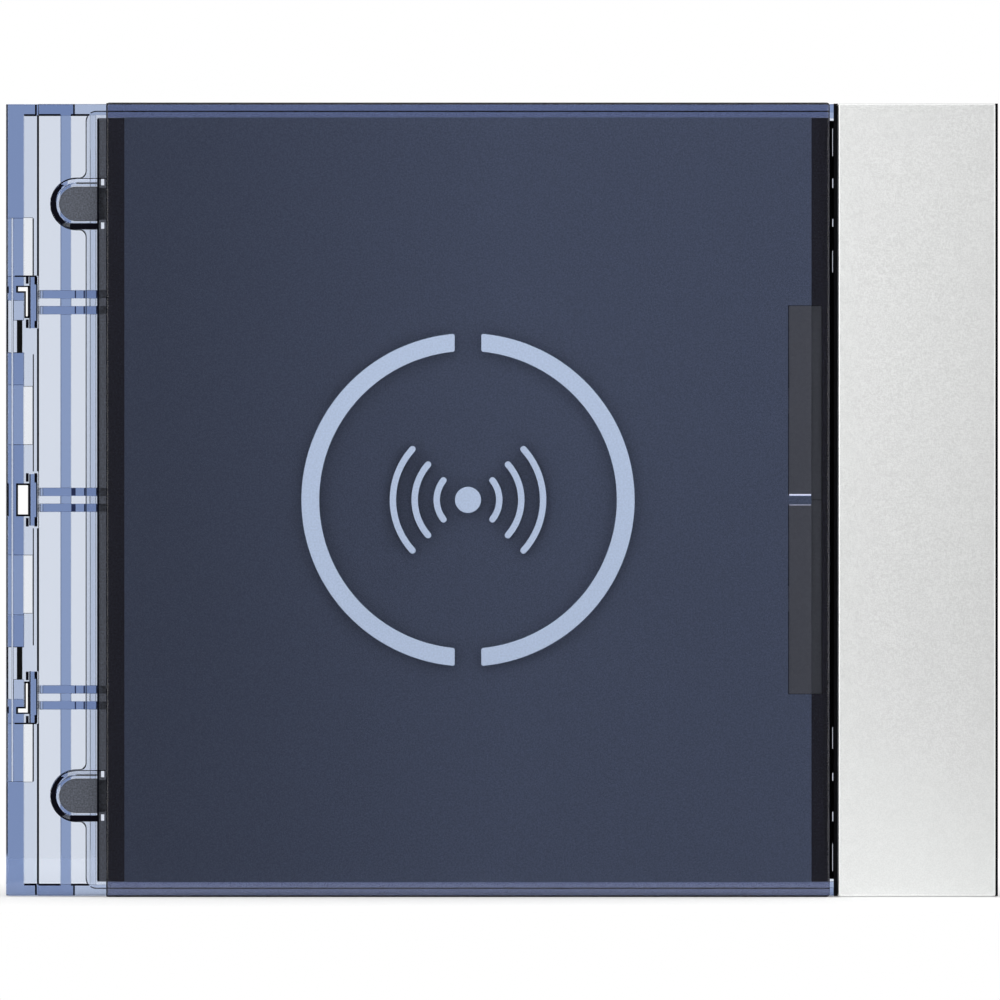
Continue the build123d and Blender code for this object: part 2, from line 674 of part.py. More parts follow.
def housing():
    """Front shell of the module: side walls, face, bosses and posts."""
    shell = slab(module_outline(), REAR_COVER, MODULE_HIGH)
    shell = fillet(shell.faces().sort_by(Axis.Y)[0].outer_wire().edges(), 0.6)
    shell = shell - slab(module_outline(WALL), REAR_COVER - 1, MODULE_HIGH - FACE_WALL)
    inside = slab(module_outline(WALL / 2), REAR_COVER, MODULE_HIGH - FACE_WALL / 2)
    for x, z in BOSS_POINTS:
        shell = shell + peg(x, z, BOSS_RADIUS, BOARD_HIGH, MODULE_HIGH - FACE_WALL / 2)
    for x, z in POST_POINTS:
        shell = shell + (peg(x, z, POST_RADIUS, REAR_COVER, POST_HIGH) & inside)
    for cheek in retainer_cheeks():
        shell = shell + cheek
    for x, z in BOSS_POINTS:
        shell = shell - peg(x, z, BOARD_SCREW, BOARD_HIGH - 1, BOARD_HIGH + 6)
    for x, z in POST_POINTS:
        shell = shell - peg(x, z, COVER_SCREW, REAR_COVER - 1, POST_HIGH + 1)
    shell = shell - slab(light_holes(LED_WINDOW), MODULE_HIGH - 2 * FACE_WALL, MODULE_HIGH + 1)
    for side in (1, -1):
        shell = shell - peg(PIPE_X, side * PIPE_Z, PIPE_RADIUS, MODULE_HIGH - 2 * FACE_WALL, MODULE_HIGH + 1)
        low_z, high_z = sorted((side * (MODULE_HALF - 0.9), side * (MODULE_HALF + 1)))
        shell = shell - block(RETAIN_X - RETAIN_HALF - 0.2, RETAIN_X + RETAIN_HALF + 0.2, low_z, high_z,
                              REAR_COVER - 1, RETAIN_PIVOT_HEIGHT + 1.4)
    usb_port = block(USB_X - 4.8, USB_X + 4.8, -MODULE_HALF - 1, -MODULE_HALF + WALL + 0.1,
                     USB_HEIGHT - 2.0, USB_HEIGHT + 2.0)
    return shell - usb_port - latch_pins()


def rear_openings():
    """Front-view outlines of every opening in the rear cover."""
    width, height = TERMINAL_HEADER
    holes = [centred(TERMINAL_X, TERMINAL_Z, width + 0.4, height + 0.4)]
    for side in (1, -1):
        holes.append(centred(BUS_X, side * BUS_Z, BUS_OUTER[0] + 0.4, BUS_OUTER[1] + 0.4))
        holes.append(disc(FIXING_X, side * FIXING_Z, FIXING_HOLE))
    holes.append(centred(DIP_X, DIP_Z, DIP_BODY[0] + 0.6, DIP_BODY[1] + 0.6))
    holes.append(disc(BUTTON_X, BUTTON_Z, BUTTON_RADIUS + 0.3))
    holes.append(disc(TAMPER_X, TAMPER_Z, TAMPER_RADIUS + 0.3))
    return holes


def rear_cover():
    """Flat cover that lies against the wall."""
    outline = rounded(MODULE_LEFT, MODULE_RIGHT, -MODULE_HALF, MODULE_HALF, MODULE_CORNER)
    cover = slab(outline, 0, REAR_COVER)
    for hole in rear_openings():
        cover = cover - slab(hole, -1, REAR_COVER + 1)
    for x, z in POST_POINTS:
        cover = cover - peg(x, z, COVER_SCREW + 0.2, -1, REAR_COVER + 1)
        cover = cover - peg(x, z, COVER_SCREW_HEAD + 0.1, -1, 1.2)
    return cover - block(*LABEL_X, -LABEL_HALF, LABEL_HALF, -1, 0.4)


def screw(x, z, shank, head, head_low, head_high, tip):
    """Screw along the depth, with a cross recess in its head on the wall side."""
    body = peg(x, z, head, head_low, head_high) + peg(x, z, shank, head_high, tip)
    slot_depth = (head_high - head_low) / 2
    recess = centred(x, z, head * 1.2, head * 0.25) + centred(x, z, head * 0.25, head * 1.2)
    return body - slab(recess, head_low - 1, head_low + slot_depth)


# ---------------------------------------------------------------- boards and components
def main_board():
    """Main circuit board, notched round the fixing screws."""
    outline = rect(*BOARD_X, -BOARD_HALF, BOARD_HALF)
    outline = outline - scallops(BOARD_NOTCH_HALF, BOARD_NOTCH_Z)
    for x, z in BOSS_POINTS:
        outline = outline - disc(x, z, BOARD_SCREW + 0.15)
    return slab(outline, BOARD_LOW, BOARD_HIGH)


def antenna_outline():
    """Outline of the antenna board, centred on the symbol."""
    return rounded(SYMBOL_X - ANTENNA_HALF_X, SYMBOL_X + ANTENNA_HALF_X,
                   -ANTENNA_HALF_Z, ANTENNA_HALF_Z, 2.0)


def spacer_points():
    """Where the antenna board stands on its spacers."""
    across, up = SPACER_OFFSET
    return [(SYMBOL_X + sx * across, sz * up) for sx in (1, -1) for sz in (1, -1)]


def antenna_board():
    """Antenna board, with its screw holes and its clearance for the fixing screws."""
    outline = antenna_outline()
    for x, z in spacer_points():
        outline = outline - disc(x, z, 1.1)
    return slab(outline, ANTENNA_LOW, ANTENNA_HIGH)


def antenna_coil():
    """Copper turns of the antenna, as nested rounded loops."""
    turns = []
    for turn in range(COIL_TURNS):
        inset = 4.6 + turn * COIL_PITCH
        half_x = ANTENNA_HALF_X - inset
        half_z = ANTENNA_HALF_Z - inset
        outer = rounded(SYMBOL_X - half_x, SYMBOL_X + half_x, -half_z, half_z, 3.0)
        inner = rounded(SYMBOL_X - half_x + COIL_TRACE, SYMBOL_X + half_x - COIL_TRACE,
                        -half_z + COIL_TRACE, half_z - COIL_TRACE, 3.0 - COIL_TRACE)
        turns.append(slab(outer - inner, ANTENNA_HIGH, ANTENNA_HIGH + COIL_THICK))
    return group(turns)


def ring_leds():
    """LEDs under the light pegs."""
    leds = []
    for x, z in light_points():
        leds.append(slab(centred(x, z, LED_SIZE, LED_SIZE), ANTENNA_HIGH, ANTENNA_HIGH + LED_HEIGHT))
    return group(leds)


def status_leds():
    """LEDs under the status light pipes."""
    return group(slab(centred(PIPE_X, side * PIPE_Z, LED_SIZE, LED_SIZE), BOARD_HIGH, BOARD_HIGH + LED_HEIGHT)
                 for side in (1, -1))


def status_light_pipes():
    """Clear rods from the status LEDs to the module's face."""
    low = BOARD_HIGH + LED_HEIGHT + 0.1
    return group(peg(PIPE_X, side * PIPE_Z, PIPE_RADIUS, low, MODULE_HIGH) for side in (1, -1))


def board_chips():
    """Controller and radio chips."""
    controller = slab(rounded(-24.0, -14.0, -5.0, 5.0, 0.4), BOARD_HIGH, BOARD_HIGH + 1.4)
    radio = slab(rounded(-8.0, -2.0, -3.0, 3.0, 0.3), BOARD_HIGH, BOARD_HIGH + 1.0)
    memory = slab(rounded(-22.0, -16.0, 9.0, 13.0, 0.3), BOARD_HIGH, BOARD_HIGH + 1.5)
    return group([controller, radio, memory])


def small_components():
    """Rows of small surface-mount parts on the main board."""
    parts = []
    for column in range(8):
        for row in range(2):
            x = 3.0 + column * 3.0
            z = 2.0 + row * 3.4
            parts.append(slab(centred(x, z, 2.0, 1.2), BOARD_HIGH, BOARD_HIGH + 0.8))
    return group(parts)


def capacitors():
    """Two can capacitors of the supply."""
    cans = []
    for x in (-32.0, -32.0 + 8.5):
        base = slab(centred(x, -16.0, 6.6, 6.6), BOARD_HIGH, BOARD_HIGH + 0.8)
        cans.append(base + peg(x, -16.0, 3.1, BOARD_HIGH + 0.8, BOARD_HIGH + 5.6))
    return group(cans)


def relay():
    """Lock relay."""
    body = slab(rounded(6.0, 22.0, -19.0, -9.0, 0.5), BOARD_HIGH, BOARD_HIGH + 5.6)
    return fillet(body.faces().sort_by(Axis.Y)[0].edges(), 0.4)


def buzzer():
    """Round sounder with a sound hole in its face."""
    body = peg(22.0, 16.0, 5.8, BOARD_HIGH, BOARD_HIGH + 5.0)
    body = fillet(body.faces().sort_by(Axis.Y)[0].edges(), 0.5)
    return body - peg(22.0, 16.0, 1.0, BOARD_HIGH + 3.5, BOARD_HIGH + 6)


def dip_switch_body():
    """Body of the setting switches, open where the knobs slide."""
    body = slab(centred(DIP_X, DIP_Z, *DIP_BODY), DIP_LOW, BOARD_LOW)
    for x in dip_positions():
        slot = centred(x, DIP_Z, DIP_KNOB + 0.2, DIP_TRAVEL + DIP_KNOB + 0.3)
        body = body - slab(slot, DIP_LOW - 1, DIP_LOW + 1.6)
    return body


def dip_positions():
    """X of each setting switch's knob."""
    return [DIP_X + (index - 1.5) * DIP_PITCH for index in range(4)]


def dip_slider(x):
    """Knob of one setting switch, at the low end of its slot."""
    return slab(centred(x, DIP_Z - DIP_TRAVEL / 2, DIP_KNOB, DIP_KNOB), DIP_LOW - 0.8, DIP_LOW + 1.5)


def program_switch_body():
    """Body of the programming button's switch."""
    body = slab(rounded(BUTTON_X - 3.1, BUTTON_X + 3.1, BUTTON_Z - 3.1, BUTTON_Z + 3.1, 0.4), 6.4, BOARD_LOW)
    return body - peg(BUTTON_X, BUTTON_Z, BUTTON_RADIUS + 0.08, 5, 8.4)


def program_button():
    """Stem of the programming button, just below the rear cover's face."""
    stem = peg(BUTTON_X, BUTTON_Z, BUTTON_RADIUS, 0.8, 7.6)
    return chamfer(stem.faces().sort_by(Axis.Y)[-1].edges(), 0.3)


def tamper_switch_body():
    """Body of the tamper switch."""
    body = slab(rounded(TAMPER_X - 4.5, TAMPER_X + 4.5, TAMPER_Z - 3.2, TAMPER_Z + 3.2, 0.4), 5.6, BOARD_LOW)
    return body - peg(TAMPER_X, TAMPER_Z, TAMPER_RADIUS + 0.08, 4, 9.2)


def tamper_plunger():
    """Plunger that the wall presses in, with a collar that keeps it inside."""
    stem = peg(TAMPER_X, TAMPER_Z, TAMPER_RADIUS, -TAMPER_PROUD, 7.2)
    stem = fillet(stem.faces().sort_by(Axis.Y)[-1].edges(), 0.6)
    return stem + peg(TAMPER_X, TAMPER_Z, TAMPER_RADIUS + 0.8, REAR_COVER + 0.2, REAR_COVER + 1.2)


# ---------------------------------------------------------------- terminals and sockets
def terminal_columns():
    """X of each way of the terminal block."""
    middle = (TERMINAL_WAYS - 1) / 2
    return [TERMINAL_X + (way - middle) * (TERMINAL_PITCH - 0.3) for way in range(TERMINAL_WAYS)]


def terminal_pins():
    """Square pins of the terminal header."""
    return group(slab(centred(x, TERMINAL_Z, 1.0, 1.0), 4.4, BOARD_LOW) for x in terminal_columns())


def terminal_header():
    """Shroud that guides the terminal plug."""
    width, height = TERMINAL_HEADER
    shroud = slab(centred(TERMINAL_X, TERMINAL_Z, width, height), 0.2, BOARD_LOW)
    plug_width, plug_height = TERMINAL_PLUG
    cavity = centred(TERMINAL_X, TERMINAL_Z, plug_width + 0.4, plug_height + 0.4)
    shroud = shroud - slab(cavity, -1, TERMINAL_PLUG_HEIGHTS[1] + 0.2)
    return shroud - terminal_pins()


def terminal_plug():
    """Pull-out plug with wire entries below and clamp screws above."""
    low, high = TERMINAL_PLUG_HEIGHTS
    plug = slab(rounded(TERMINAL_X - TERMINAL_PLUG[0] / 2, TERMINAL_X + TERMINAL_PLUG[0] / 2,
                        TERMINAL_Z - TERMINAL_PLUG[1] / 2, TERMINAL_Z + TERMINAL_PLUG[1] / 2, 0.3), low, high)
    for x in terminal_columns():
        plug = plug - slab(centred(x, TERMINAL_Z, 1.3, 1.3), 4.2, high + 1)
        plug = plug - slab(centred(x, TERMINAL_Z - 1.8, 2.6, 2.4), low - 1, 3.6)
        plug = plug - peg(x, TERMINAL_Z + 1.8, 1.3, low - 1, 3.8)
    return plug


def terminal_screws():
    """Clamp screws in the plug's wells."""
    screws = []
    for x in terminal_columns():
        head = peg(x, TERMINAL_Z + 1.8, 1.25, 1.6, 3.8)
        slot = centred(x, TERMINAL_Z + 1.8, 2.6, 0.5)
        screws.append(head - slab(slot, 0.5, 2.2))
    return group(screws)


def bus_pins(side):
    """Contact pins of one bus socket."""
    return [slab(centred(BUS_X + (index - 2) * 2.0, side * BUS_Z, 0.6, 0.6), BUS_FLOOR - 1.4, BOARD_LOW)
            for index in range(5)]


def bus_socket(side):
    """Socket for the cable to the next module."""
    shroud = slab(centred(BUS_X, side * BUS_Z, *BUS_OUTER), BUS_LOW, BOARD_LOW)
    shroud = shroud - slab(centred(BUS_X, side * BUS_Z, *BUS_CAVITY), BUS_LOW - 1, BUS_FLOOR)
    for pin in bus_pins(side):
        shroud = shroud - pin
    return shroud


def usb_socket():
    """Steel shell of the service socket, facing down."""
    shell = block(USB_X - 4.0, USB_X + 4.0, -39.0, -33.0, BOARD_HIGH, BOARD_HIGH + 2.8)
    shell = shell - block(USB_X - 3.6, USB_X + 3.6, -39.5, -34.0, BOARD_HIGH + 0.4, BOARD_HIGH + 2.4)
    return shell + block(USB_X - 2.6, USB_X + 2.6, -38.4, -33.6, BOARD_HIGH + 1.1, BOARD_HIGH + 1.7)


def usb_cap():
    """Rubber flap over the service socket, with a nub that fills the port."""
    outer = -MODULE_HALF - 1.3
    flap = block(USB_X - 6.0, USB_X + 6.0, outer, -MODULE_HALF - 0.1, USB_HEIGHT - 3.0, USB_HEIGHT + 2.6)
    flap = fillet(flap.edges().filter_by(Axis.Z).group_by(Axis.X)[-1], 1.2)
    nub = block(USB_X - 3.4, USB_X + 3.4, -MODULE_HALF - 0.2, -MODULE_HALF + WALL - 0.2,
                USB_HEIGHT - 1.2, USB_HEIGHT + 1.2)
    return flap + nub


def module_latch():
    """Upper retaining latch, which clips the module into a mounting frame."""
    inner = RETAIN_PIVOT_Z - 0.8
    outer = RETAIN_PIVOT_Z + 0.6
    profile = Polygon(
        (-RETAIN_PIVOT_HEIGHT, inner),
        (-3.0, inner),
        (-3.0, outer + 0.3),
        (-4.2, outer + 1.2),
        (-5.0, outer + 1.2),
        (-5.0, outer),
        (-RETAIN_PIVOT_HEIGHT, outer),
        align=None,
    )
    pivot = Pos(-RETAIN_PIVOT_HEIGHT, RETAIN_PIVOT_Z)
    profile = profile + pivot * Circle(0.95) - pivot * Circle(RETAIN_PIN + 0.05)
    return extrude(Plane.YZ.offset(RETAIN_X - RETAIN_HALF) * profile, amount=2 * RETAIN_HALF)


# ---------------------------------------------------------------- every node
def front_nodes():
    """Pieces of the front cover."""
    nodes = {
        "front_carrier": front_carrier(),
        "hook_pads": hook_pads(),
        "window_frame": window_frame(),
        "backing_plate": backing_plate(),
        "printed_film": printed_film(),
        "front_window": front_window(),
        "ring_arc_left": ring_arc(-1),
        "ring_arc_right": ring_arc(1),
        "symbol_waves": symbol_waves(),
        "symbol_dot": symbol_dot(),
        "status_bar_upper": status_bar(1),
        "status_bar_lower": status_bar(-1),
        "trim_cover": trim_cover(),
        "trim_retainer": trim_retainer(),
        "gap_seal": gap_seal(),
        "side_seal": side_seal(),
        "cover_gasket": cover_gasket(),
    }
    for name, station in zip(("upper", "middle", "lower"), CROSS_RIB_STATIONS):
        nodes["snap_latch_" + name] = snap_latch(station)
    return nodes


def module_nodes():
    """Pieces of the electronics module that stay on the wall."""
    ferrite = slab(centred(SYMBOL_X, 0, 2 * FERRITE_HALF, 2 * FERRITE_HALF),
                   ANTENNA_LOW - FERRITE_THICK, ANTENNA_LOW)
    spacers = [peg(x, z, SPACER_RADIUS, BOARD_HIGH, ANTENNA_LOW) - peg(x, z, 0.9, ANTENNA_LOW - 4, ANTENNA_LOW + 1)
               for x, z in spacer_points()]
    antenna_screws = [peg(x, z, 1.9, ANTENNA_HIGH, ANTENNA_HIGH + 1.0) + peg(x, z, 0.85, ANTENNA_LOW - 3.5, ANTENNA_HIGH)
                      for x, z in spacer_points()]
    return {
        "housing": housing(),
        "rear_cover": rear_cover(),
        "cover_screws": group(screw(x, z, COVER_SCREW - 0.05, COVER_SCREW_HEAD, 0.2, 1.2, 8.5)
                              for x, z in POST_POINTS),
        "main_board": main_board(),
        "board_screws": group(screw(x, z, BOARD_SCREW - 0.05, 2.3, BOARD_LOW - 1.5, BOARD_LOW, BOARD_HIGH + 5)
                              for x, z in BOSS_POINTS),
        "board_chips": board_chips(),
        "small_components": small_components(),
        "capacitors": capacitors(),
        "relay": relay(),
        "buzzer": buzzer(),
        "antenna_board": antenna_board(),
        "antenna_coil": antenna_coil(),
        "ferrite_sheet": ferrite,
        "board_spacers": group(spacers),
        "antenna_screws": group(antenna_screws),
        "ring_leds": ring_leds(),
        "status_leds": status_leds(),
        "status_light_pipes": status_light_pipes(),
        "terminal_header": terminal_header(),
        "terminal_pins": terminal_pins(),
        "bus_socket_in": bus_socket(-1),
        "bus_socket_out": bus_socket(1),
        "bus_pins": group(bus_pins(1) + bus_pins(-1)),
        "dip_switch_body": dip_switch_body(),
        "program_switch_body": program_switch_body(),
        "tamper_switch_body": tamper_switch_body(),
        "usb_socket": usb_socket(),
        "latch_pins": latch_pins(),
        "label_plate": block(LABEL_X[0] + 0.2, LABEL_X[1] - 0.2, 0.2 - LABEL_HALF, LABEL_HALF - 0.2, 0.15, 0.4),
    }


def moving_nodes():
    """Pieces of the module that move."""
    nodes = {
        "terminal_plug": terminal_plug(),
        "terminal_screws": terminal_screws(),
        "tamper_plunger": tamper_plunger(),
        "program_button": program_button(),
        "usb_cap": usb_cap(),
        "module_latch_upper": module_latch(),
        "module_latch_lower": mirror(module_latch(), about=Plane.XY),
    }
    for index, x in enumerate(dip_positions(), start=1):
        nodes["dip_slider_%d" % index] = dip_slider(x)
    return nodes


os.makedirs("parts", exist_ok=True)
for node_name, shape in {**front_nodes(), **module_nodes(), **moving_nodes()}.items():
    export_step(shape, "parts/" + node_name + ".step")
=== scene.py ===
"""Looks of a wall-mounted proximity card reader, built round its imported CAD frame."""
import math

import bmesh
import bpy
from mathutils import Matrix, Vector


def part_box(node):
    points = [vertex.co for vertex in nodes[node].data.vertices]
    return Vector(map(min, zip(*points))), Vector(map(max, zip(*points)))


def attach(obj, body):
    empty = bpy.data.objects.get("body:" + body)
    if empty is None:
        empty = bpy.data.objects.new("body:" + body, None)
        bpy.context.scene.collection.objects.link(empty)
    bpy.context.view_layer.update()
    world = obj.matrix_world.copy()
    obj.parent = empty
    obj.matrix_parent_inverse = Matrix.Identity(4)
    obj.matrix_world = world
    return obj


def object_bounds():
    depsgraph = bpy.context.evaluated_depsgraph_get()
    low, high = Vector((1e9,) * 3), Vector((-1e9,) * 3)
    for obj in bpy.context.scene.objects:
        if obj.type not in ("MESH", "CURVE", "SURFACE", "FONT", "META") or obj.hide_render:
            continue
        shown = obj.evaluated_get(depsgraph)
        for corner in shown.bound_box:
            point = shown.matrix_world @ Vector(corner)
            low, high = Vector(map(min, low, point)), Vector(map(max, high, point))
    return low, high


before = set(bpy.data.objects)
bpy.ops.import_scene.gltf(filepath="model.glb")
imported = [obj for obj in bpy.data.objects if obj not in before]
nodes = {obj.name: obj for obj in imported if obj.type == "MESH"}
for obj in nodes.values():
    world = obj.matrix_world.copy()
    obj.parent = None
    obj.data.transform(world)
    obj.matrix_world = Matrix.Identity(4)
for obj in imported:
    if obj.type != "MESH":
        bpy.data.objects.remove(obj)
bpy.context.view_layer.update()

MM = 0.001
SAME_POINT = 1e-6
SHARP_EDGE = math.radians(30)
SNAP_LATCHES = ("snap_latch_upper", "snap_latch_middle", "snap_latch_lower")
scene = bpy.context.scene


# ---------------------------------------------------------------- material helpers
class Material:
    """A Principled material with short ways to add procedural detail."""

    def __init__(self, name, color, roughness=0.5, **sockets):
        self.material = bpy.data.materials.new(name)
        self.material.use_nodes = True
        self.tree = self.material.node_tree
        self.shader = self.tree.nodes["Principled BSDF"]
        self.shader.inputs["Base Color"].default_value = (*color, 1.0)
        self.shader.inputs["Roughness"].default_value = roughness
        for socket, value in sockets.items():
            self.shader.inputs[socket.replace("_", " ")].default_value = value
        self.color = color
        self.shade = None

    def add(self, kind, **inputs):
        """New node with some of its input values set."""
        node = self.tree.nodes.new(kind)
        for socket, value in inputs.items():
            node.inputs[socket.replace("_", " ")].default_value = value
        return node

    def link(self, source, target):
        """Link an output socket to an input socket."""
        self.tree.links.new(source, target)

    def place(self):
        """Position on the piece, in metres."""
        found = self.tree.nodes.get("Texture Coordinate")
        return (found or self.add("ShaderNodeTexCoord")).outputs["Object"]

    def noise(self, grain, detail=2.0, stretch=(1.0, 1.0, 1.0)):
        """Noise whose features are about grain metres across."""
        mapping = self.add("ShaderNodeMapping")
        mapping.inputs["Scale"].default_value = stretch
        self.link(self.place(), mapping.inputs["Vector"])
        texture = self.add("ShaderNodeTexNoise", Scale=1.0 / grain, Detail=detail)
        self.link(mapping.outputs["Vector"], texture.inputs["Vector"])
        return texture.outputs["Fac"]

    def ramp(self, factor, low, high, start=0.35, end=0.65):
        """Colours from low to high as the factor goes from start to end."""
        node = self.add("ShaderNodeValToRGB")
        node.color_ramp.elements[0].position = start
        node.color_ramp.elements[1].position = end
        node.color_ramp.elements[0].color = (*low, 1.0)
        node.color_ramp.elements[1].color = (*high, 1.0)
        self.link(factor, node.inputs["Fac"])
        return node.outputs["Color"]

    def vary_color(self, grain, amount, **noise):
        """Fine colour variation about the base colour."""
        low = [channel * (1 - amount) for channel in self.color]
        high = [min(1.0, channel * (1 + amount)) for channel in self.color]
        self.shade = self.ramp(self.noise(grain, **noise), low, high)
        self.link(self.shade, self.shader.inputs["Base Color"])
        return self

    def fade(self, axis, start, end, low, high):
        """Multiply the colour by low to high as the position on an axis goes from start to end."""
        split = self.add("ShaderNodeSeparateXYZ")
        self.link(self.place(), split.inputs["Vector"])
        along = self.add("ShaderNodeMapRange", From_Min=start, From_Max=end, To_Min=low, To_Max=high)
        self.link(split.outputs[axis], along.inputs["Value"])
        scale = self.add("ShaderNodeVectorMath")
        scale.operation = "SCALE"
        self.link(self.shade, scale.inputs["Vector"])
        self.link(along.outputs["Result"], scale.inputs["Scale"])
        self.shade = scale.outputs["Vector"]
        self.link(self.shade, self.shader.inputs["Base Color"])
        return self

    def vary_roughness(self, grain, low, high, **noise):
        """Patchy roughness between two values."""
        node = self.add("ShaderNodeMapRange", From_Min=0.35, From_Max=0.65, To_Min=low, To_Max=high)
        self.link(self.noise(grain, **noise), node.inputs["Value"])
        self.link(node.outputs["Result"], self.shader.inputs["Roughness"])
        return self

    def bump(self, grain, height, **noise):
        """Surface texture of a given grain and height, in metres."""
        node = self.add("ShaderNodeBump", Strength=1.0, Distance=height)
        self.link(self.noise(grain, **noise), node.inputs["Height"])
        self.link(node.outputs["Normal"], self.shader.inputs["Normal"])
        return self

    def absorb(self, per_metre):
        """Colour the inside by how much it absorbs per metre in red, green and blue."""
        density = max(per_metre) * 1.2
        volume = self.add("ShaderNodeVolumeAbsorption")
        volume.inputs["Color"].default_value = (*[1 - value / density for value in per_metre], 1.0)
        volume.inputs["Density"].default_value = density
        output = self.tree.nodes["Material Output"]
        self.link(volume.outputs["Volume"], output.inputs["Volume"])
        return self


def paint(material, *names):
    """Give CAD nodes a material."""
    for name in names:
        slots = nodes[name].data.materials
        slots.clear()
        slots.append(material.material)


def soften(width, *names):
    """Round the sharp edges of CAD nodes a little."""
    for name in names:
        node = nodes[name]
        weld = node.modifiers.new("weld", "WELD")
        weld.merge_threshold = SAME_POINT
        bevel = node.modifiers.new("edge", "BEVEL")
        bevel.width = width
        bevel.segments = 2
        bevel.limit_method = "ANGLE"
        bevel.angle_limit = SHARP_EDGE
        bevel.harden_normals = False
        bevel.use_clamp_overlap = True


# ---------------------------------------------------------------- materials
CLEAR_ABSORPTION = (200.0, 160.0, 88.0)
SMOKED_ABSORPTION = (420.0, 434.0, 357.0)
BLACK_RUBBER = (0.003, 0.003, 0.004)


def clear_polycarbonate(name, ior):
    """Clear blue-tinted moulding, polished, with a faint mould texture."""
    made = Material(name, (1.0, 1.0, 1.0), 0.02, IOR=ior, Transmission_Weight=1.0)
    made.vary_roughness(0.4 * MM, 0.0, 0.04)
    return made.absorb(CLEAR_ABSORPTION)


def smoked_polycarbonate():
    """Smoked window, glossy."""
    made = Material("smoked_window", (1.0, 1.0, 1.0), 0.03, IOR=1.45, Transmission_Weight=1.0)
    return made.absorb(SMOKED_ABSORPTION)


def navy_film():
    """Printed film with a fine metallic-looking grain, and painted shading that darkens it towards the left.
    """
    made = Material("navy_film", (0.42, 0.57, 0.69), 0.6)
    # Painted shading: the colour is scaled from 0.77 at X = -43 mm up to 1.16 from the centre rightwards.
    made.vary_color(0.16 * MM, 0.16).fade("X", -43 * MM, 0.0, 0.77, 1.16)
    return made.bump(0.16 * MM, 0.008 * MM)


def dark_plate():
    """Spark-eroded dark grey plate."""
    made = Material("dark_plate", (0.058, 0.066, 0.088), 0.55)
    return made.vary_color(0.2 * MM, 0.4, detail=3.0).bump(0.2 * MM, 0.02 * MM, detail=3.0)


def light_guide():
    """Pale periwinkle light guide."""
    made = Material("light_guide", (0.345, 0.42, 0.57), 0.45)
    return made.vary_color(0.2 * MM, 0.08).bump(0.2 * MM, 0.004 * MM)


def status_diffuser():
    """Grey diffuser behind the window, with painted shade on its right end."""
    made = Material("status_diffuser", (0.53, 0.60, 0.54), 0.5)
    # Painted shade: the colour drops to 0.72 right of X = 35.9 mm, where the diffuser's end sits in shadow.
    made.vary_color(0.3 * MM, 0.05).fade("X", 35.88 * MM, 35.92 * MM, 1.0, 0.72)
    return made.bump(0.3 * MM, 0.006 * MM)


def satin_aluminium():
    """Bead-blasted, clear-anodised aluminium, with painted shading from lighter at its left edge to darker at
    its right.
    """
    made = Material("satin_aluminium", (0.85, 0.86, 0.852), 0.45, Metallic=1.0)
    # Painted shading: the colour is scaled from 1.05 at X = 39 mm down to 0.93 at X = 57 mm.
    made.vary_color(0.13 * MM, 0.035, detail=1.0).fade("X", 39 * MM, 57 * MM, 1.05, 0.93)
    made.vary_roughness(0.13 * MM, 0.42, 0.50, detail=1.0)
    return made.bump(0.12 * MM, 0.003 * MM, detail=1.0)


def moulded(name, color, roughness=0.55, grain=0.25, height=0.008):
    """Moulded plastic with a fine spark-eroded texture."""
    made = Material(name, color, roughness)
    made.vary_color(4 * grain * MM, 0.10).vary_roughness(grain * MM, roughness * 0.85, roughness * 1.15)
    return made.bump(grain * MM, height * MM)


def rubber(name, color):
    """Matt rubber or foam."""
    made = Material(name, color, 0.8, Specular_IOR_Level=0.06)
    return made.vary_color(0.5 * MM, 0.2).bump(0.15 * MM, 0.02 * MM, detail=3.0)


def metal(name, color, roughness, grain=0.3):
    """Plated metal with slight wear."""
    made = Material(name, color, roughness, Metallic=1.0)
    made.vary_color(2 * grain * MM, 0.08).vary_roughness(grain * MM, roughness * 0.7, roughness * 1.3)
    return made.bump(0.5 * grain * MM, 0.003 * MM)


def circuit_board():
    """Green solder mask with faint tracks."""
    made = Material("circuit_board", (0.02, 0.16, 0.07), 0.3, Coat_Weight=0.4)
    made.vary_color(1.6 * MM, 0.35, stretch=(1.0, 1.0, 6.0))
    return made.bump(0.8 * MM, 0.01 * MM, stretch=(1.0, 1.0, 6.0))


def label_face():
    """Silver label with printed ruled lines and no lettering."""
    made = Material("label_silver", (0.62, 0.63, 0.64), 0.4, Metallic=0.6)
    made.vary_color(0.4 * MM, 0.04)
    split = made.add("ShaderNodeSeparateXYZ")
    made.link(made.place(), split.inputs["Vector"])
    rule = made.add("ShaderNodeMath")
    rule.operation = "PINGPONG"
    rule.inputs[1].default_value = 2.1 * MM
    made.link(split.outputs["Z"], rule.inputs[0])
    line = made.add("ShaderNodeMath")
    line.operation = "LESS_THAN"
    line.inputs[1].default_value = 0.1 * MM
    made.link(rule.outputs["Value"], line.inputs[0])
    mix = made.add("ShaderNodeMix")
    mix.data_type = "RGBA"
    mix.inputs["B"].default_value = (0.05, 0.05, 0.06, 1.0)
    made.link(line.outputs["Value"], mix.inputs["Factor"])
    made.link(made.shade, mix.inputs["A"])
    made.link(mix.outputs["Result"], made.shader.inputs["Base Color"])
    return made


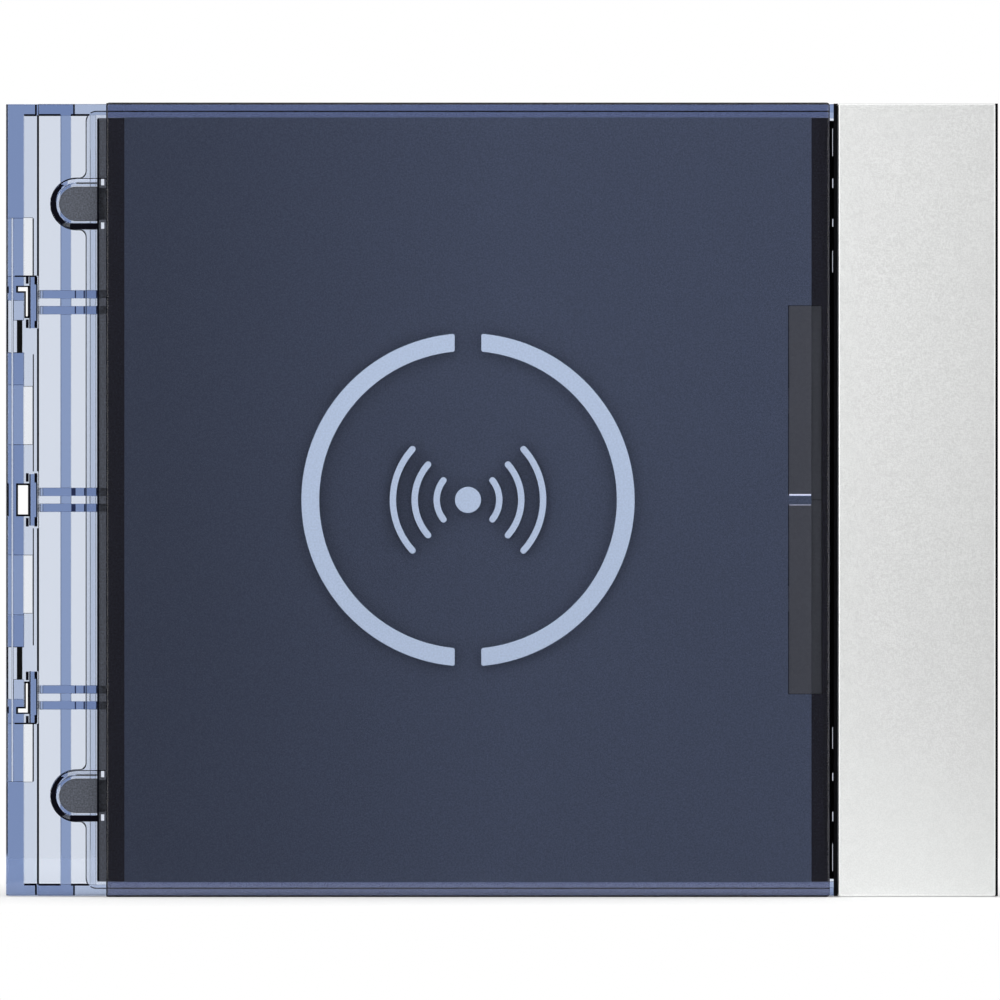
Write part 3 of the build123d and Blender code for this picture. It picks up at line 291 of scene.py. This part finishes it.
def paint_everything():
    """One material for each group of nodes."""
    paint(clear_polycarbonate("clear_polycarbonate", 1.5), "front_carrier", "window_frame")
    paint(clear_polycarbonate("clear_latch", 1.12), *SNAP_LATCHES)
    paint(smoked_polycarbonate(), "front_window")
    paint(navy_film(), "printed_film")
    paint(dark_plate(), "backing_plate")
    paint(light_guide(), "ring_arc_left", "ring_arc_right", "symbol_waves", "symbol_dot")
    paint(moulded("light_pipe", (0.75, 0.80, 0.90), 0.2), "status_light_pipes")
    paint(status_diffuser(), "status_bar_upper", "status_bar_lower")
    paint(satin_aluminium(), "trim_cover")
    paint(moulded("black_plastic", (0.02, 0.02, 0.023)), "trim_retainer", "program_switch_body",
          "tamper_switch_body", "buzzer")
    paint(rubber("black_rubber", BLACK_RUBBER), "gap_seal", "side_seal", "hook_pads", "usb_cap")
    paint(rubber("foam", (0.05, 0.05, 0.055)), "cover_gasket")
    paint(moulded("housing_plastic", (0.075, 0.077, 0.085), 0.55, 0.35, 0.014), "housing", "rear_cover",
          "module_latch_upper", "module_latch_lower")
    paint(circuit_board(), "main_board", "antenna_board")
    paint(metal("copper", (0.80, 0.42, 0.24), 0.35), "antenna_coil")
    paint(moulded("ferrite", (0.06, 0.055, 0.055), 0.5), "ferrite_sheet")
    paint(metal("steel", (0.60, 0.60, 0.62), 0.32), "cover_screws", "board_screws", "antenna_screws",
          "usb_socket", "latch_pins", "terminal_screws")
    paint(metal("gold_contact", (0.90, 0.68, 0.32), 0.25), "terminal_pins", "bus_pins")
    paint(moulded("chip_black", (0.025, 0.025, 0.028), 0.45), "board_chips")
    paint(moulded("ceramic_part", (0.40, 0.33, 0.24), 0.5), "small_components")
    paint(metal("capacitor_can", (0.75, 0.75, 0.77), 0.3), "capacitors")
    paint(moulded("relay_blue", (0.03, 0.10, 0.32), 0.35), "relay")
    paint(moulded("led_plastic", (0.85, 0.85, 0.75), 0.25), "ring_leds", "status_leds")
    paint(moulded("terminal_green", (0.03, 0.26, 0.10), 0.45), "terminal_header", "terminal_plug")
    paint(moulded("white_plastic", (0.72, 0.71, 0.67), 0.45), "bus_socket_in", "bus_socket_out",
          "tamper_plunger", "program_button", "dip_slider_1", "dip_slider_2", "dip_slider_3", "dip_slider_4")
    paint(moulded("switch_red", (0.38, 0.03, 0.03), 0.45), "dip_switch_body")
    paint(moulded("spacer_nylon", (0.70, 0.68, 0.62), 0.5), "board_spacers")
    paint(label_face(), "label_plate")


# ---------------------------------------------------------------- added pieces
# Heights above the wall, in millimetres
LEDGE_LINE = 23.22
FLANGE_LINE = 23.26
FLANGE_HIGH = 23.27
FRAME_BASE = 24.25
RAIL_LINE = 24.26
SEAL_LINE = 24.96
PLATE_LINE = 25.9
EAR_HIGH = 25.97
WINDOW_LINE = 27.9
# Other sizes, in millimetres
FRAME_LINE_RADIUS = 0.07
EAR_CENTRE = (-49.4, 34.35)
EAR_RIM = 2.98
HOOK_WINDOW = (-56.44, -54.82, -1.92, 1.92)


def box_mesh(name, boxes):
    """Mesh of several boxes, each given by two opposite corners in millimetres."""
    vertices = []
    faces = []
    for low, high in boxes:
        start = len(vertices)
        for x in (low[0], high[0]):
            for y in (low[1], high[1]):
                for z in (low[2], high[2]):
                    vertices.append((x * MM, y * MM, z * MM))
        for corners in ((0, 1, 3, 2), (4, 6, 7, 5), (0, 4, 5, 1), (2, 3, 7, 6), (0, 2, 6, 4), (1, 5, 7, 3)):
            faces.append([start + corner for corner in corners])
    mesh = bpy.data.meshes.new(name)
    mesh.from_pydata(vertices, [], faces)
    return mesh


def add_piece(name, boxes, material, body):
    """Add a piece made of boxes to a body."""
    mesh = box_mesh(name, boxes)
    mesh.materials.append(material.material)
    piece = bpy.data.objects.new(name, mesh)
    scene.collection.objects.link(piece)
    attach(piece, body)


def painted_glint(name, strength):
    """Painted glint: an emissive edge of a light guide that stands in for a highlight."""
    made = Material(name, (0.8, 0.85, 0.95), 0.3)
    made.vary_color(0.5 * MM, 0.05)
    # Painted highlight: the emission makes the edge glow though it is no lamp.
    made.shader.inputs["Emission Color"].default_value = (0.85, 0.92, 1.0, 1.0)
    made.shader.inputs["Emission Strength"].default_value = strength
    return made


def edge_shadow():
    """Near-black of an edge that turns the light away."""
    made = Material("edge_shadow", (0.004, 0.004, 0.007), 0.9, Specular_IOR_Level=0.0)
    return made.vary_color(0.5 * MM, 0.1)


def rib_shadow():
    """Deep blue of a rib that is seen along its length."""
    made = Material("rib_shadow", (0.02, 0.028, 0.075), 0.9, Specular_IOR_Level=0.0)
    return made.vary_color(0.5 * MM, 0.1)


def slab_box(left, right, bottom, top, height, thick=0.06):
    """Box between two X and two Z values, its front at a height above the wall."""
    return (left, -height, bottom), (right, thick - height, top)


def both_ways(boxes):
    """The boxes and their mirror images about Z = 0."""
    flipped = [((low[0], low[1], -high[2]), (high[0], high[1], -low[2])) for low, high in boxes]
    return boxes + flipped


def window_rim(left, right, bottom, top, wide):
    """Four boxes along the inside of a rectangular opening in the flange."""
    return [
        slab_box(left, left + wide, bottom, top, FLANGE_HIGH),
        slab_box(right - wide, right, bottom, top, FLANGE_HIGH),
        slab_box(left, right, bottom, bottom + wide, FLANGE_HIGH),
        slab_box(left, right, top - wide, top, FLANGE_HIGH),
    ]


def flange_shadows():
    """Dark edges of the bare flange: step, rails, latch windows and latches."""
    step = [slab_box(-53.99, -53.75, low, high, 24.24, 0.9) for low, high in ((3.3, 19.9), (26.0, 44.65))]
    step.append(slab_box(-54.24, -54.02, 44.75, 45.9, FLANGE_LINE))
    rails = [slab_box(left, right, 44.56, 44.8, high) for left, right, high in
             ((-55.5, -54.05, FLANGE_LINE), (-53.8, -51.25, RAIL_LINE), (-50.05, -47.9, RAIL_LINE))]
    rails.append(slab_box(-49.79, -49.6, 44.8, 45.9, RAIL_LINE))
    inner = [slab_box(-54.5, -54.37, low, high, FLANGE_LINE) for low, high in ((3.3, 16.9), (26.0, 32.7))]
    outer = [
        slab_box(-57.45, -57.34, 17.1, 23.2, LEDGE_LINE),
        slab_box(-57.45, -57.28, 24.0, 24.8, LEDGE_LINE),
    ]
    corner = [
        slab_box(-56.44, -54.85, 24.72, 24.87, FLANGE_HIGH),
        slab_box(-56.44, -56.2, 24.06, 24.87, FLANGE_HIGH),
        slab_box(-56.44, -55.29, 24.06, 24.24, FLANGE_HIGH),
        slab_box(-55.49, -55.29, 21.1, 24.1, FLANGE_HIGH),
        slab_box(-55.08, -54.83, 21.1, 24.8, FLANGE_HIGH),
        slab_box(-55.49, -54.83, 21.1, 21.32, FLANGE_HIGH),
    ]
    latch = [
        slab_box(-56.6, -54.05, 25.88, 26.06, FLANGE_HIGH),
        slab_box(-55.3, -54.97, 25.1, 25.9, FLANGE_HIGH),
        slab_box(-54.3, -53.98, 25.0, 25.9, FLANGE_HIGH),
        slab_box(-54.1, -53.93, 20.8, 25.0, FLANGE_HIGH),
        slab_box(-55.3, -54.97, 19.95, 20.95, FLANGE_HIGH),
        slab_box(-54.3, -53.98, 19.95, 20.8, FLANGE_HIGH),
    ]
    middle = [
        slab_box(-55.3, -54.97, 2.1, 3.1, FLANGE_HIGH),
        slab_box(-54.3, -53.98, 2.0, 3.1, FLANGE_HIGH),
        slab_box(-54.1, -53.93, 0.0, 2.0, FLANGE_HIGH),
        slab_box(-57.45, -57.28, 0.0, 1.9, LEDGE_LINE),
    ]
    return both_ways(step + rails + inner + outer + corner + latch + middle) + window_rim(*HOOK_WINDOW, 0.23)


def rib_shadows():
    """Dark ends of the cross ribs beside the post and along the window frame."""
    frame_side = [(-47.12, -46.92), (-46.6, -45.98)]
    stations = [
        ([(0.5, 1.37)], [(-50.0, -49.5), (-48.52, -48.36)]),
        ([(21.6, 22.48), (23.42, 24.3)], [(-49.6, -49.45), (-48.58, -48.42)]),
    ]
    boxes = []
    for ribs, marks in stations:
        for low, high in ribs:
            boxes += [slab_box(left, right, low, high, RAIL_LINE) for left, right in marks + frame_side]
    return both_ways(boxes)


def window_shadows():
    """Dark edges of the smoked window, of the dark plate behind it and of the drain slits beside it."""
    sides = [
        slab_box(-45.87, -45.7, -45.9, 45.9, WINDOW_LINE),
        slab_box(-46.98, -46.77, -44.2, 44.2, PLATE_LINE),
    ]
    ends = [slab_box(-45.87, 37.85, 45.82, 46.0, WINDOW_LINE)]
    slits = [slab_box(38.4, 38.52, low, high, SEAL_LINE) for low, high in ((39.9, 43.1), (26.4, 28.9))]
    slits += [slab_box(38.44, 38.52, low, high, SEAL_LINE) for low, high in ((36.2, 37.3), (31.7, 32.6))]
    return sides + both_ways(ends + slits)


def outline_tube(name, node, height, radius, keep):
    """Thin tube along the sharp edges of a node that lie at a height and that keep() picks."""
    source = bmesh.new()
    source.from_mesh(nodes[node].data)
    bmesh.ops.remove_doubles(source, verts=source.verts, dist=SAME_POINT)
    tube = bmesh.new()
    for edge in source.edges:
        start, end = (corner.co for corner in edge.verts)
        level = max(abs(start.y + height), abs(end.y + height)) < 1e-5
        if level and edge.calc_face_angle(0.0) > SHARP_EDGE and keep(start) and keep(end):
            along = end - start
            turn = along.to_track_quat("Z", "Y").to_matrix().to_4x4()
            matrix = Matrix.Translation((start + end) / 2) @ turn
            bmesh.ops.create_cone(tube, cap_ends=True, segments=6, radius1=radius, radius2=radius,
                                  depth=along.length + radius, matrix=matrix)
    mesh = bpy.data.meshes.new(name)
    tube.to_mesh(mesh)
    return mesh


def outside_frame(point):
    """True on the outer outline of the window frame and its ears."""
    x, z = point.x / MM, abs(point.z / MM)
    return (z > 44.9 or x < -48.0) and math.hypot(x - EAR_CENTRE[0], z - EAR_CENTRE[1]) > 2.7


def arc_points(centre_x, centre_z, radius, start, end, step=5):
    """Points along an arc between two angles in degrees."""
    angles = [math.radians(angle) for angle in range(start, end + 1, step)]
    return [(centre_x + radius * math.cos(angle), centre_z + radius * math.sin(angle)) for angle in angles]


def rect_points(left, right, bottom, top):
    """Corners of a rectangle."""
    return [(left, bottom), (right, bottom), (right, top), (left, top)]


def ear_shade(ear_z):
    """Outlines of the dark shapes on an ear: rim, crescent on the left and strip along the lower side."""
    x = EAR_CENTRE[0]
    crescent = arc_points(x, ear_z, 2.96, 130, 235)
    crescent += reversed(arc_points(x + 0.38, ear_z + 0.12, 2.72, 130, 235))
    upper_rim = arc_points(x, ear_z, EAR_RIM, 90, 130) + list(reversed(arc_points(x, ear_z, 2.86, 90, 130)))
    lower_rim = arc_points(x, ear_z, EAR_RIM, 235, 270) + list(reversed(arc_points(x, ear_z, 2.88, 235, 270)))
    upper_line = rect_points(x, -45.98, ear_z + 2.88, ear_z + EAR_RIM)
    strip = rect_points(-50.1, -46.95, ear_z - 2.96, ear_z - 2.25)
    return [crescent, upper_rim, lower_rim, upper_line, strip]


def flat_mesh(outlines, height):
    """Flat faces with the given outlines at a height above the wall."""
    mesh = bpy.data.meshes.new("flat")
    vertices = []
    faces = []
    for outline in outlines:
        faces.append(list(range(len(vertices), len(vertices) + len(outline))))
        vertices += [(x * MM, -height * MM, z * MM) for x, z in outline]
    mesh.from_pydata(vertices, [], faces)
    return mesh


def ride_mesh(name, mesh, material):
    """Add a mesh to the front cover."""
    mesh.materials.append(material.material)
    piece = bpy.data.objects.new(name, mesh)
    scene.collection.objects.link(piece)
    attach(piece, "front_cover")


def add_edge_shadows():
    """Dark lines where the edges of the clear and smoked mouldings turn the light away."""
    shadow = edge_shadow()
    ride_mesh("flange_edge_shadows", box_mesh("flange_edge_shadows", flange_shadows()), shadow)
    ride_mesh("window_edge_shadows", box_mesh("window_edge_shadows", window_shadows()), shadow)
    ride_mesh("rib_end_shadows", box_mesh("rib_end_shadows", rib_shadows()), rib_shadow())
    frame_line = outline_tube("frame_edge_shadow", "window_frame", FRAME_BASE * MM, FRAME_LINE_RADIUS * MM,
                              outside_frame)
    ride_mesh("frame_edge_shadow", frame_line, shadow)
    shades = ear_shade(EAR_CENTRE[1]) + ear_shade(-EAR_CENTRE[1])
    ride_mesh("ear_edge_shadows", flat_mesh(shades, EAR_HIGH), shadow)


def add_status_glints():
    """Painted glints: fine glowing edges where the two status bars face each other."""
    left, right = 33.32, 35.85
    # Painted highlights, brighter on the upper edge than on the lower.
    add_piece("status_glint_upper", [((left, -25.99, 0.50), (right, -25.955, 0.66))],
              painted_glint("painted_glint_upper", 1.8), "front_cover")
    add_piece("status_glint_lower", [((left, -25.99, -0.64), (right, -25.955, -0.53))],
              painted_glint("painted_glint_lower", 0.6), "front_cover")


# ---------------------------------------------------------------- studio
CAMERA_LENS = 800.0
SENSOR = 36.0
VIEW_WIDTH = 115.93 * MM
VIEW_CENTRE = (-0.23 * MM, -0.02 * MM)


def add_camera():
    """Square-on camera with a long lens, framed on the front face."""
    data = bpy.data.cameras.new("camera")
    data.lens = CAMERA_LENS
    data.sensor_width = SENSOR
    data.clip_end = 20.0
    camera = bpy.data.objects.new("camera", data)
    scene.collection.objects.link(camera)
    distance = VIEW_WIDTH * CAMERA_LENS / SENSOR
    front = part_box("front_window")[0].y
    camera.location = (VIEW_CENTRE[0], front - distance, VIEW_CENTRE[1])
    camera.rotation_euler = (math.radians(90), 0, 0)
    scene.camera = camera


def add_world():
    """White studio: bright behind the object and in a broad ring in front, darker at the sides."""
    world = bpy.data.worlds.new("studio")
    scene.world = world
    world.use_nodes = True
    tree = world.node_tree
    tree.nodes.clear()
    place = tree.nodes.new("ShaderNodeTexCoord")
    split = tree.nodes.new("ShaderNodeSeparateXYZ")
    tree.links.new(place.outputs["Generated"], split.inputs[0])
    across = tree.nodes.new("ShaderNodeMapRange")
    across.inputs["From Min"].default_value = -1.0
    tree.links.new(split.outputs["Y"], across.inputs["Value"])
    ring = tree.nodes.new("ShaderNodeValToRGB")
    stops = [(0.0, 0.16), (0.02, 0.18), (0.06, 1.7), (0.35, 1.7), (0.46, 0.3), (0.52, 0.3), (0.6, 0.9),
             (0.8, 0.9), (0.87, 0.03), (0.975, 0.03), (0.985, 1.0)]
    while len(ring.color_ramp.elements) < len(stops):
        ring.color_ramp.elements.new(0.5)
    for element, (position, level) in zip(ring.color_ramp.elements, stops):
        element.position = position
        element.color = (level, level, level, 1.0)
    tree.links.new(across.outputs["Result"], ring.inputs["Fac"])
    up = tree.nodes.new("ShaderNodeMapRange")
    up.interpolation_type = "SMOOTHSTEP"
    up.inputs["From Min"].default_value = 0.45
    up.inputs["From Max"].default_value = 0.85
    tree.links.new(split.outputs["Z"], up.inputs["Value"])
    lift = tree.nodes.new("ShaderNodeMix")
    lift.data_type = "RGBA"
    lift.inputs["B"].default_value = (1.0, 1.0, 1.0, 1.0)
    tree.links.new(up.outputs["Result"], lift.inputs["Factor"])
    tree.links.new(ring.outputs["Color"], lift.inputs["A"])
    seen = tree.nodes.new("ShaderNodeLightPath")
    choose = tree.nodes.new("ShaderNodeMix")
    choose.data_type = "RGBA"
    choose.inputs["B"].default_value = (1.0, 1.0, 1.0, 1.0)
    tree.links.new(seen.outputs["Is Camera Ray"], choose.inputs["Factor"])
    tree.links.new(lift.outputs["Result"], choose.inputs["A"])
    background = tree.nodes.new("ShaderNodeBackground")
    tree.links.new(choose.outputs["Result"], background.inputs["Color"])
    output = tree.nodes.new("ShaderNodeOutputWorld")
    tree.links.new(background.outputs["Background"], output.inputs["Surface"])


def add_floor():
    """Plain pale floor under the lowest edge."""
    low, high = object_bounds()
    side, near, far = 0.35, -0.12, 0.25
    mesh = bpy.data.meshes.new("floor")
    corners = [(-side, near, low.z), (side, near, low.z), (side, far, low.z), (-side, far, low.z)]
    mesh.from_pydata(corners, [], [(0, 1, 2, 3)])
    floor = bpy.data.objects.new("floor", mesh)
    scene.collection.objects.link(floor)
    made = Material("floor_paper", (0.92, 0.92, 0.92), 0.8)
    made.vary_color(0.05, 0.01)
    made.shader.inputs["Emission Color"].default_value = (1.0, 1.0, 1.0, 1.0)
    made.shader.inputs["Emission Strength"].default_value = 0.2
    mesh.materials.append(made.material)


paint_everything()
soften(0.08 * MM, "front_carrier")
soften(0.04 * MM, *SNAP_LATCHES)
soften(0.08 * MM, "window_frame")
soften(0.15 * MM, "terminal_plug", "tamper_plunger", "program_button", "usb_cap", "relay", "board_chips")
soften(0.06 * MM, "dip_slider_1", "dip_slider_2", "dip_slider_3", "dip_slider_4", "status_bar_upper",
       "status_bar_lower", "terminal_header", "bus_socket_in", "bus_socket_out", "dip_switch_body")
add_status_glints()
add_edge_shadows()
add_world()
add_floor()
add_camera()
scene.view_settings.view_transform = "Standard"
